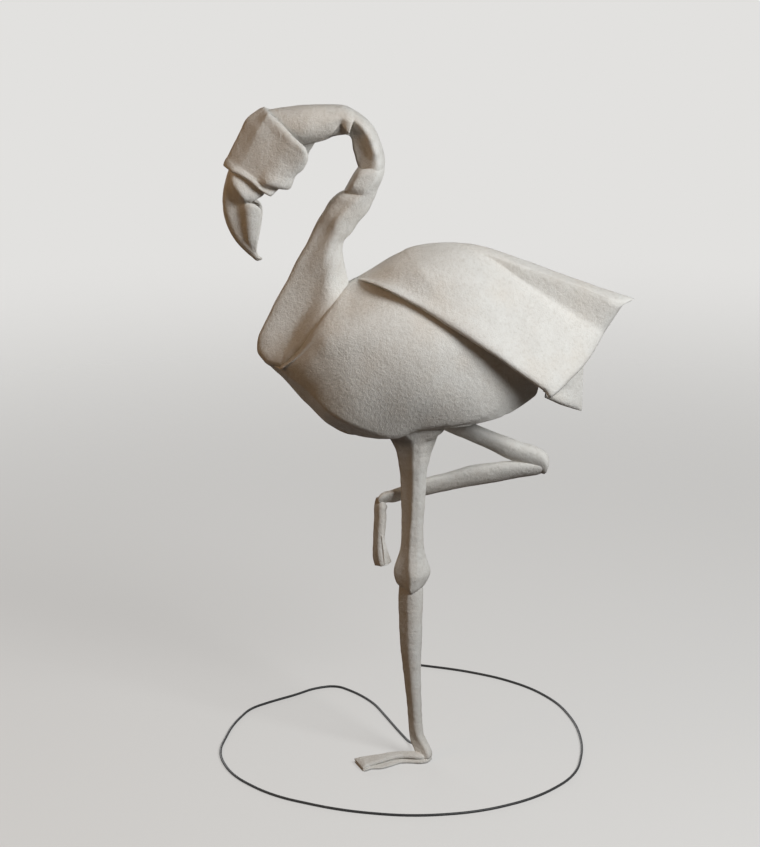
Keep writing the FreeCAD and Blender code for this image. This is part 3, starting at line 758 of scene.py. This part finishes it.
wireCoat = dict(
    colour=linear(24, 24, 26), worn=linear(70, 68, 66), wear=0.55,
    streakScale=900, scuffScale=240, scuffFrom=0.6, scuffFull=0.72,
    streakDepth=0.03, streakStrength=0.5,
    roughness=0.42, roughnessSpread=0.15,
)


def wireFinish():
    finish = Finish("black_wire")
    place = finish.place()
    streak = finish.noise(place, wireCoat["streakScale"], 3, 0.6)
    scuff = finish.ramp(finish.noise(place, wireCoat["scuffScale"], 4, 0.65),
                        wireCoat["scuffFrom"], wireCoat["scuffFull"])
    base = finish.blend(scuff * wireCoat["wear"], wireCoat["colour"], wireCoat["worn"])
    shader = finish.add("ShaderNodeBsdfPrincipled", None, {
        "Base Color": base,
        "Roughness": wireCoat["roughness"] + streak * wireCoat["roughnessSpread"],
        "Normal": finish.bump(streak, wireCoat["streakDepth"], wireCoat["streakStrength"])})
    finish.add("ShaderNodeOutputMaterial", None, {"Surface": shader})
    return finish.material


def dress(piece, material):
    piece.data.materials.clear()
    piece.data.materials.append(material)


paperMaterial = paperFinish()
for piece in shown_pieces():
    if piece.get("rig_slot") == "heavy_paper":
        dress(piece, paperMaterial)
wireMaterial = wireFinish()
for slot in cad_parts["wire_stand"].material_slots:
    slot.material = wireMaterial
print("finishes made")


stage = dict(
    floor=linear(224, 222, 219), backdrop=linear(226, 225, 223), floorRoughness=0.9,
    size=4.0, fadeFrom=0.3, fadeTo=0.9,      # metres: the floor melts into the backdrop
    bounce=linear(52, 40, 30),               # the floor's tint in the light it throws back
    glow=0.6,                                # how much of the floor's look is its own light
    worldLight=0.02, worldTint=(1.0, 0.88, 0.76, 1.0),
)
half = stage["size"] / 2
corners = [(-half, -half, 0), (half, -half, 0), (half, half, 0), (-half, half, 0)]
floorMesh = bpy.data.meshes.new("floor")
floorMesh.from_pydata(corners, [], [(0, 1, 2, 3)])
floor = bpy.data.objects.new("floor", floorMesh)
bpy.context.scene.collection.objects.link(floor)

ground = Finish("floor")
distance = ground.add("ShaderNodeVectorMath", {"operation": "LENGTH"}, {0: ground.place()},
                      output=1)
melt = ground.ramp(distance, stage["fadeFrom"], stage["fadeTo"])
look = ground.straightLook()
tone = ground.blend(look, stage["bounce"], stage["floor"])
plain = ground.add("ShaderNodeBsdfPrincipled", None, {
    "Base Color": tone, "Roughness": stage["floorRoughness"]})
clear = ground.add("ShaderNodeBsdfTransparent")
glow = ground.add("ShaderNodeEmission", None, {"Color": stage["backdrop"], "Strength": 1.0})
surface = ground.mixShader(melt, ground.mixShader(look * stage["glow"], plain, glow), clear)
ground.add("ShaderNodeOutputMaterial", None, {"Surface": surface})
dress(floor, ground.material)

world = bpy.data.worlds.new("studio")
sky = Finish("studio", world)
dim = sky.add("ShaderNodeBackground", None, {
    "Color": stage["worldTint"], "Strength": stage["worldLight"]})
pale = sky.add("ShaderNodeBackground", None, {"Color": stage["backdrop"], "Strength": 1.0})
air = sky.mixShader(sky.straightLook(), dim, pale)
sky.add("ShaderNodeOutputWorld", None, {"Surface": air})
bpy.context.scene.world = world

lamps = dict(
    key=dict(place=(0.305, -0.32, 0.42), size=0.2, power=2.3, colour=(0.95, 0.98, 1)),
    fill=dict(place=(-0.42, -0.2, 0.42), size=0.3, power=0.38, colour=(1, 0.6, 0.28)),
    back=dict(place=(-0.5, 1.4, 0.25), size=1.0, power=9, colour=(1, 1, 1)),
)
aim = (cadLow + cadHigh) / 2
for name, lamp in lamps.items():
    data = bpy.data.lights.new(name, "AREA")
    data.shape = "SQUARE"
    data.size = lamp["size"]
    data.energy = lamp["power"]
    data.color = lamp["colour"]
    light = bpy.data.objects.new(name, data)
    light.location = lamp["place"]
    light.rotation_euler = (aim - light.location).to_track_quat("-Z", "Y").to_euler()
    bpy.context.scene.collection.objects.link(light)

camera = dict(
    lens=100, sensor=36,
    place=(-11.5, -844.7, 378.0),      # steps
    down=16.51,                        # degrees below level
)
lensData = bpy.data.cameras.new("camera")
lensData.lens = camera["lens"]
lensData.sensor_width = camera["sensor"]
view = bpy.data.objects.new("camera", lensData)
view.location = Vector(camera["place"]) * unit
view.rotation_euler = (math.radians(90 - camera["down"]), 0, 0)
bpy.context.scene.collection.objects.link(view)
bpy.context.scene.camera = view
bpy.context.scene.view_settings.view_transform = "Standard"
print("stage made")
